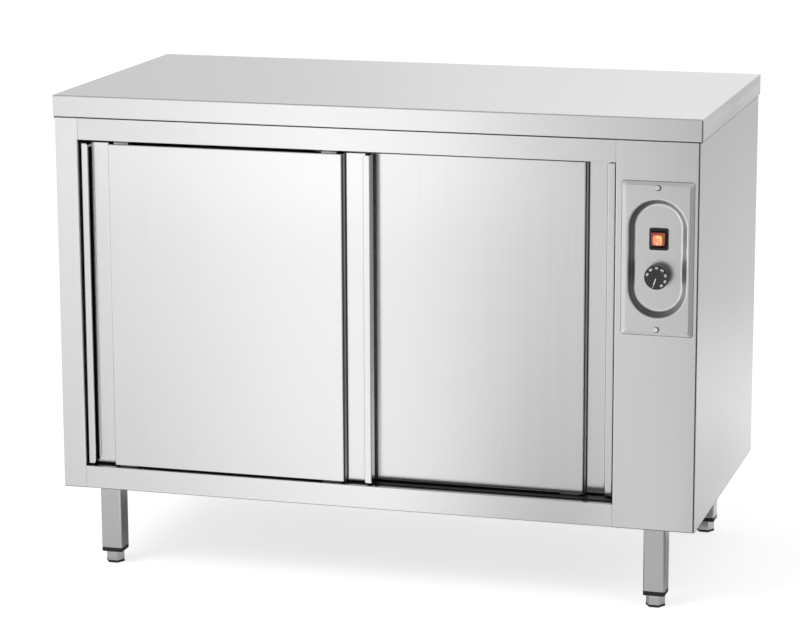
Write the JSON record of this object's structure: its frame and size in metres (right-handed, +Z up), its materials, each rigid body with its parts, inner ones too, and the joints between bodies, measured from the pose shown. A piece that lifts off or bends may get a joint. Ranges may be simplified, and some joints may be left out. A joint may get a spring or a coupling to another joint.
{
  "type": "heated plate cupboard",
  "caption": "Free-standing stainless cupboard that warms plates: folded worktop, sliding doors, fan heater behind a control column, square legs on screw feet.",
  "frame": {"origin": "on the floor, under the middle of the whole footprint, knob included", "axes": "+X to the right of someone facing the doors, +Y back, +Z up"},
  "size_m": [1.2, 0.6086, 0.892],
  "materials": {
    "worktop_steel": "brushed along the length",
    "body_steel": "brushed along the length",
    "door_steel": "brushed upright",
    "liner_steel": "dull",
    "leg_steel": "satin",
    "foot_steel": "satin",
    "track_alloy": "mill",
    "zinc_steel": "zinc plated",
    "screw_steel": "polished",
    "black_plastic": "matt",
    "knob_plastic": "satin",
    "lit_red_plastic": "translucent",
    "white_plastic": "matt",
    "grey_nylon": "matt",
    "rubber_black": "matt",
    "wool": "fibrous",
    "board": "raw",
    "element_steel": "heat tinted",
    "fan_alloy": "mill",
    "motor_paint": "satin",
    "wire_jacket": "matt"
  },
  "bodies": {
    "cabinet": {"worktop": "worktop_steel", "worktop_core": "board", "left_side_panel": "body_steel", "right_side_panel": "body_steel", "back_panel": "body_steel", "base_panel": "body_steel", "top_rail": "body_steel", "bottom_rail": "body_steel", "control_column": "body_steel", "chamber_left_wall": "liner_steel", "chamber_back_wall": "liner_steel", "chamber_ceiling": "liner_steel", "chamber_floor": "liner_steel", "chamber_partition": "liner_steel", "wall_insulation": "wool", "shelf": "liner_steel", "shelf_rails": "liner_steel", "top_track": "track_alloy", "bottom_track": "track_alloy", "door_stops": "rubber_black", "control_plate": "body_steel", "control_plate_screws": "screw_steel", "switch_body": "black_plastic", "thermostat_body": "zinc_steel", "thermostat_bulb": "zinc_steel", "heater_duct": "zinc_steel", "heating_element": "element_steel", "fan_motor": "motor_paint", "limit_thermostat": "white_plastic", "terminal_block": "white_plastic", "cable_gland": "black_plastic", "wiring_loom": "wire_jacket", "legs": "leg_steel", "leg_caps": "black_plastic"},
    "left_door": {"left_door_skin": "door_steel", "left_door_liner": "liner_steel", "left_door_core": "wool", "left_door_hangers": "zinc_steel", "left_door_guides": "grey_nylon"},
    "left_door_left_wheels": {"left_door_left_wheels": "grey_nylon"},
    "left_door_right_wheels": {"left_door_right_wheels": "grey_nylon"},
    "right_door": {"right_door_skin": "door_steel", "right_door_liner": "liner_steel", "right_door_core": "wool", "right_door_hangers": "zinc_steel", "right_door_guides": "grey_nylon"},
    "right_door_left_wheels": {"right_door_left_wheels": "grey_nylon"},
    "right_door_right_wheels": {"right_door_right_wheels": "grey_nylon"},
    "knob": {"thermostat_knob": "knob_plastic", "thermostat_shaft": "zinc_steel"},
    "rocker": {"switch_rocker": "lit_red_plastic"},
    "fan": {"fan_impeller": "fan_alloy"},
    "pad_front_left": {"foot_pad_front_left": "black_plastic"},
    "spindle_front_left": {"foot_spindle_front_left": "foot_steel"},
    "pad_front_right": {"foot_pad_front_right": "black_plastic"},
    "spindle_front_right": {"foot_spindle_front_right": "foot_steel"},
    "pad_back_left": {"foot_pad_back_left": "black_plastic"},
    "spindle_back_left": {"foot_spindle_back_left": "foot_steel"},
    "pad_back_right": {"foot_pad_back_right": "black_plastic"},
    "spindle_back_right": {"foot_spindle_back_right": "foot_steel"}
  },
  "joints": [
    {"name": "left_door_slide", "type": "slide", "parent": "cabinet", "child": "left_door", "axis": [1, 0, 0], "range_m": [0, 0.438]},
    {"name": "left_door_left_wheels_turn", "type": "hinge", "parent": "left_door", "child": "left_door_left_wheels", "pos_m": [-0.4725, -0.27675, 0.8337], "axis": [0, 1, 0], "continuous": true},
    {"name": "left_door_right_wheels_turn", "type": "hinge", "parent": "left_door", "child": "left_door_right_wheels", "pos_m": [-0.0765, -0.27675, 0.8337], "axis": [0, 1, 0], "continuous": true},
    {"name": "right_door_slide", "type": "slide", "parent": "cabinet", "child": "right_door", "axis": [1, 0, 0], "range_m": [-0.438, 0]},
    {"name": "right_door_left_wheels_turn", "type": "hinge", "parent": "right_door", "child": "right_door_left_wheels", "pos_m": [-0.0345, -0.24475, 0.8337], "axis": [0, 1, 0], "continuous": true},
    {"name": "right_door_right_wheels_turn", "type": "hinge", "parent": "right_door", "child": "right_door_right_wheels", "pos_m": [0.3615, -0.24475, 0.8337], "axis": [0, 1, 0], "continuous": true},
    {"name": "thermostat_turn", "type": "hinge", "parent": "cabinet", "child": "knob", "pos_m": [0.5234, -0.30425, 0.6136], "axis": [0, -1, 0], "range_deg": [-73, 199]},
    {"name": "switch_rock", "type": "hinge", "parent": "cabinet", "child": "rocker", "pos_m": [0.5234, -0.28275, 0.6782], "axis": [1, 0, 0], "range_deg": [-12, 0]},
    {"name": "fan_spin", "type": "hinge", "parent": "cabinet", "child": "fan", "pos_m": [0.472, 0.02525, 0.34], "axis": [1, 0, 0], "continuous": true},
    {"name": "foot_front_left_raise", "type": "slide", "parent": "cabinet", "child": "pad_front_left", "axis": [0, 0, -1], "range_m": [0, 0.0246]},
    {"name": "foot_front_left_turn", "type": "hinge", "parent": "pad_front_left", "child": "spindle_front_left", "pos_m": [-0.5186, -0.24195, 0.02], "axis": [0, 0, -1], "range_deg": [0, 5040]},
    {"name": "foot_front_right_raise", "type": "slide", "parent": "cabinet", "child": "pad_front_right", "axis": [0, 0, -1], "range_m": [0, 0.0246]},
    {"name": "foot_front_right_turn", "type": "hinge", "parent": "pad_front_right", "child": "spindle_front_right", "pos_m": [0.5186, -0.24195, 0.02], "axis": [0, 0, -1], "range_deg": [0, 5040]},
    {"name": "foot_back_left_raise", "type": "slide", "parent": "cabinet", "child": "pad_back_left", "axis": [0, 0, -1], "range_m": [0, 0.0246]},
    {"name": "foot_back_left_turn", "type": "hinge", "parent": "pad_back_left", "child": "spindle_back_left", "pos_m": [-0.5186, 0.25145, 0.02], "axis": [0, 0, -1], "range_deg": [0, 5040]},
    {"name": "foot_back_right_raise", "type": "slide", "parent": "cabinet", "child": "pad_back_right", "axis": [0, 0, -1], "range_m": [0, 0.0246]},
    {"name": "foot_back_right_turn", "type": "hinge", "parent": "pad_back_right", "child": "spindle_back_right", "pos_m": [0.5186, 0.25145, 0.02], "axis": [0, 0, -1], "range_deg": [0, 5040]}
  ],
  "couplings": [
    {"joint": "left_door_left_wheels_turn", "follows": "left_door_slide", "rad_per_m": 111.11},
    {"joint": "left_door_right_wheels_turn", "follows": "left_door_slide", "rad_per_m": 111.11},
    {"joint": "right_door_left_wheels_turn", "follows": "right_door_slide", "rad_per_m": 111.11},
    {"joint": "right_door_right_wheels_turn", "follows": "right_door_slide", "rad_per_m": 111.11},
    {"joint": "foot_front_left_raise", "follows": "foot_front_left_turn", "m_per_rad": 0.00027852},
    {"joint": "foot_front_right_raise", "follows": "foot_front_right_turn", "m_per_rad": 0.00027852},
    {"joint": "foot_back_left_raise", "follows": "foot_back_left_turn", "m_per_rad": 0.00027852},
    {"joint": "foot_back_right_raise", "follows": "foot_back_right_turn", "m_per_rad": 0.00027852}
  ]
}
